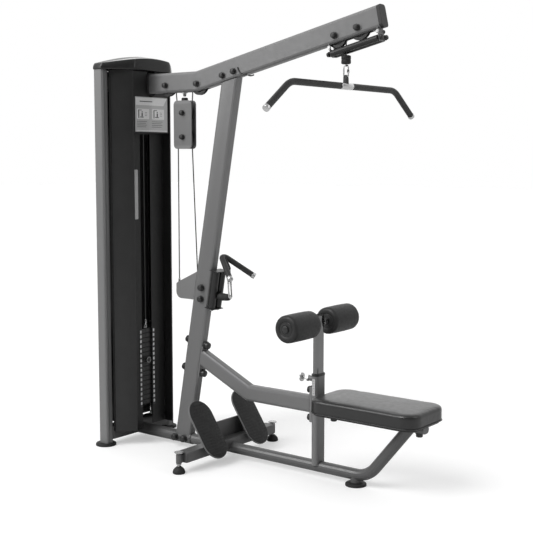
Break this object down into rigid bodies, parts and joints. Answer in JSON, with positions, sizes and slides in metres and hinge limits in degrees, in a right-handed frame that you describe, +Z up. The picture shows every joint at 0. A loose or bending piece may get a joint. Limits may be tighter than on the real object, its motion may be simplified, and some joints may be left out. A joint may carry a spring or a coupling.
{
  "type": "lat pulldown machine",
  "caption": "Lat pulldown and low row machine with a shrouded weight stack, overhead boom, bench with thigh rollers, and two cables.",
  "frame": {"origin": "on the floor, under the centre of the machine's bounding box", "axes": "+Z up, +X from the weight stack towards the seat, +Y to the right of a user who faces the stack's far side"},
  "size_m": [1.839, 1.1672, 2.1364],
  "materials": {
    "frame_paint": "satin grey powder coat",
    "dark_paint": "satin dark grey powder coat",
    "shroud_plastic": "satin black plastic",
    "rubber": "matt black rubber",
    "pulley_nylon": "satin black nylon",
    "chrome": "polished chrome",
    "zinc_steel": "bright zinc plate",
    "seat_vinyl": "charcoal vinyl",
    "foam_rubber": "matt black foam rubber",
    "coated_cable": "black coated steel cable",
    "weight_iron": "satin black iron"
  },
  "bodies": {
    "frame": {"tower_post_left": "frame_paint", "tower_post_right": "frame_paint", "tower_foot_left": "rubber", "tower_foot_right": "rubber", "tower_base_beam": "dark_paint", "tower_top_beam": "dark_paint", "guide_rod_left": "chrome", "guide_rod_right": "chrome", "side_shroud_left": "shroud_plastic", "side_shroud_right": "shroud_plastic", "front_panel": "shroud_plastic", "rear_cover": "shroud_plastic", "top_cap": "shroud_plastic", "resting_plates": "weight_iron", "boom": "frame_paint", "boom_end_cap": "shroud_plastic", "column": "frame_paint", "row_bracket": "frame_paint", "row_roller_cage": "zinc_steel", "base_rail": "dark_paint", "bench_foot": "rubber", "bench_beam": "frame_paint", "seat_post": "dark_paint", "seat_pad": "seat_vinyl", "cross_beam": "dark_paint", "foot_plate_left": "rubber", "foot_plate_right": "rubber", "leveling_foot_left": "rubber", "leveling_foot_right": "rubber", "lat_cable_at_stack": "coated_cable", "lat_cable_in_boom_back": "coated_cable", "lat_cable_in_boom_front": "coated_cable", "lat_cable_at_bar": "coated_cable", "lat_cable_at_block": "coated_cable", "row_cable_at_block": "coated_cable", "row_cable_at_row_pulley": "coated_cable"},
    "stack_carriage": {"carried_plates": "weight_iron", "selector_stem": "zinc_steel"},
    "selector_pin": {"selector_pin": "chrome"},
    "lat_hanger": {"lat_stop_and_link": "rubber"},
    "lat_bar": {"lat_bar": "rubber"},
    "floating_block": {"floating_block": "frame_paint"},
    "row_stop": {"row_stop_and_link": "zinc_steel"},
    "row_handle": {"row_handle": "rubber"},
    "thigh_post": {"thigh_post": "chrome"},
    "pull_pin": {"pull_pin": "chrome"},
    "tower_pulley": {"tower_pulley": "pulley_nylon"},
    "rear_boom_pulley_back": {"rear_boom_pulley_back": "pulley_nylon"},
    "rear_boom_pulley_front": {"rear_boom_pulley_front": "pulley_nylon"},
    "front_boom_pulley_back": {"front_boom_pulley_back": "pulley_nylon"},
    "front_boom_pulley_front": {"front_boom_pulley_front": "pulley_nylon"},
    "block_pulley_upper": {"block_pulley_upper": "pulley_nylon"},
    "block_pulley_lower": {"block_pulley_lower": "pulley_nylon"},
    "row_pulley": {"row_pulley": "pulley_nylon"},
    "foam_roller_left": {"foam_roller_left": "foam_rubber"},
    "foam_roller_right": {"foam_roller_right": "foam_rubber"},
    "lat_guide_roller_left": {"lat_guide_roller_left": "shroud_plastic"},
    "lat_guide_roller_right": {"lat_guide_roller_right": "shroud_plastic"},
    "row_guide_roller_left": {"row_guide_roller_left": "shroud_plastic"},
    "row_guide_roller_right": {"row_guide_roller_right": "shroud_plastic"}
  },
  "joints": [
    {"name": "stack_lift", "type": "slide", "parent": "frame", "child": "stack_carriage", "axis": [0, 0, 1], "range_m": [0, 0.9], "deforming": ["lat_cable_at_stack"]},
    {"name": "selector_pin_pull", "type": "slide", "parent": "stack_carriage", "child": "selector_pin", "axis": [1, 0, 0], "range_m": [0, 0.1]},
    {"name": "lat_pull", "type": "slide", "parent": "frame", "child": "lat_hanger", "axis": [0, 0, -1], "range_m": [0, 0.9], "deforming": ["lat_cable_at_bar"]},
    {"name": "lat_bar_swivel", "type": "hinge", "parent": "lat_hanger", "child": "lat_bar", "pos_m": [0.4635, 0, 1.796], "axis": [0, 0, 1], "range_deg": [-30, 30]},
    {"name": "tower_pulley_spin", "type": "hinge", "parent": "frame", "child": "tower_pulley", "pos_m": [-0.7415, 0, 1.8414], "axis": [0, 1, 0], "range_deg": [0, 1122]},
    {"name": "rear_pulley_back_spin", "type": "hinge", "parent": "frame", "child": "rear_boom_pulley_back", "pos_m": [-0.6025, 0, 1.8414], "axis": [0, 1, 0], "range_deg": [0, 1122]},
    {"name": "rear_pulley_front_spin", "type": "hinge", "parent": "frame", "child": "rear_boom_pulley_front", "pos_m": [-0.3935, 0, 1.8414], "axis": [0, 1, 0], "range_deg": [0, 1122]},
    {"name": "front_pulley_back_spin", "type": "hinge", "parent": "frame", "child": "front_boom_pulley_back", "pos_m": [0.4175, 0, 2.01738], "axis": [0, 1, 0], "range_deg": [0, 1122]},
    {"name": "front_pulley_front_spin", "type": "hinge", "parent": "frame", "child": "front_boom_pulley_front", "pos_m": [0.5355, 0, 2.04354], "axis": [0, 1, 0], "continuous": true},
    {"name": "block_pulley_upper_spin", "type": "hinge", "parent": "floating_block", "child": "block_pulley_upper", "pos_m": [-0.496, 0, 1.703], "axis": [0, 1, 0], "range_deg": [-1122, 0]},
    {"name": "row_pull", "type": "slide", "parent": "frame", "child": "row_stop", "axis": [0.9781, 0, 0.2079], "range_m": [0, 0.45], "stiffness_N_per_m": 20, "springref_m": -1.5},
    {"name": "block_drop", "type": "slide", "parent": "frame", "child": "floating_block", "axis": [0, 0, -1], "range_m": [0, 0.225], "deforming": ["lat_cable_at_block", "row_cable_at_block"]},
    {"name": "block_pulley_lower_spin", "type": "hinge", "parent": "floating_block", "child": "block_pulley_lower", "pos_m": [-0.496, 0, 1.584], "axis": [0, 1, 0], "range_deg": [0, 281.25]},
    {"name": "row_pulley_spin", "type": "hinge", "parent": "frame", "child": "row_pulley", "pos_m": [-0.3695, 0, 0.838], "axis": [0, 1, 0], "range_deg": [-561.5, 0]},
    {"name": "row_handle_rock", "type": "hinge", "parent": "row_stop", "child": "row_handle", "pos_m": [-0.2165, 0, 0.942], "axis": [0, 1, 0], "range_deg": [-20, 40]},
    {"name": "thigh_post_height", "type": "slide", "parent": "frame", "child": "thigh_post", "axis": [0, 0, 1], "range_m": [-0.12, 0.06]},
    {"name": "pull_pin_pull", "type": "slide", "parent": "frame", "child": "pull_pin", "axis": [-1, 0, 0], "range_m": [0, 0.012], "stiffness_N_per_m": 400, "springref_m": -0.01},
    {"name": "foam_roller_left_spin", "type": "hinge", "parent": "thigh_post", "child": "foam_roller_left", "pos_m": [0.3235, -0.163, 0.727], "axis": [0, 1, 0], "continuous": true},
    {"name": "lat_guide_roller_left_spin", "type": "hinge", "parent": "frame", "child": "lat_guide_roller_left", "pos_m": [0.51987, -0.0195, 1.96581], "axis": [0.9763, 0, 0.2164], "continuous": true},
    {"name": "row_guide_roller_left_spin", "type": "hinge", "parent": "frame", "child": "row_guide_roller_left", "pos_m": [-0.29327, -0.023, 0.82506], "axis": [0.1765, 0, 0.9843], "continuous": true},
    {"name": "foam_roller_right_spin", "type": "hinge", "parent": "thigh_post", "child": "foam_roller_right", "pos_m": [0.3235, 0.163, 0.727], "axis": [0, 1, 0], "continuous": true},
    {"name": "lat_guide_roller_right_spin", "type": "hinge", "parent": "frame", "child": "lat_guide_roller_right", "pos_m": [0.51987, 0.0195, 1.96581], "axis": [0.9763, 0, 0.2164], "continuous": true},
    {"name": "row_guide_roller_right_spin", "type": "hinge", "parent": "frame", "child": "row_guide_roller_right", "pos_m": [-0.29327, 0.023, 0.82506], "axis": [0.1765, 0, 0.9843], "continuous": true}
  ],
  "couplings": [
    {"joint": "lat_pull", "follows": "stack_lift", "ratio": 1},
    {"joint": "tower_pulley_spin", "follows": "stack_lift", "rad_per_m": 21.739},
    {"joint": "rear_pulley_back_spin", "follows": "stack_lift", "rad_per_m": 21.739},
    {"joint": "rear_pulley_front_spin", "follows": "stack_lift", "rad_per_m": 21.739},
    {"joint": "front_pulley_back_spin", "follows": "stack_lift", "rad_per_m": 21.739},
    {"joint": "block_pulley_upper_spin", "follows": "stack_lift", "rad_per_m": -21.739},
    {"joint": "block_drop", "follows": "row_pull", "ratio": 0.5},
    {"joint": "block_pulley_lower_spin", "follows": "row_pull", "rad_per_m": 10.87},
    {"joint": "row_pulley_spin", "follows": "row_pull", "rad_per_m": -21.739}
  ]
}
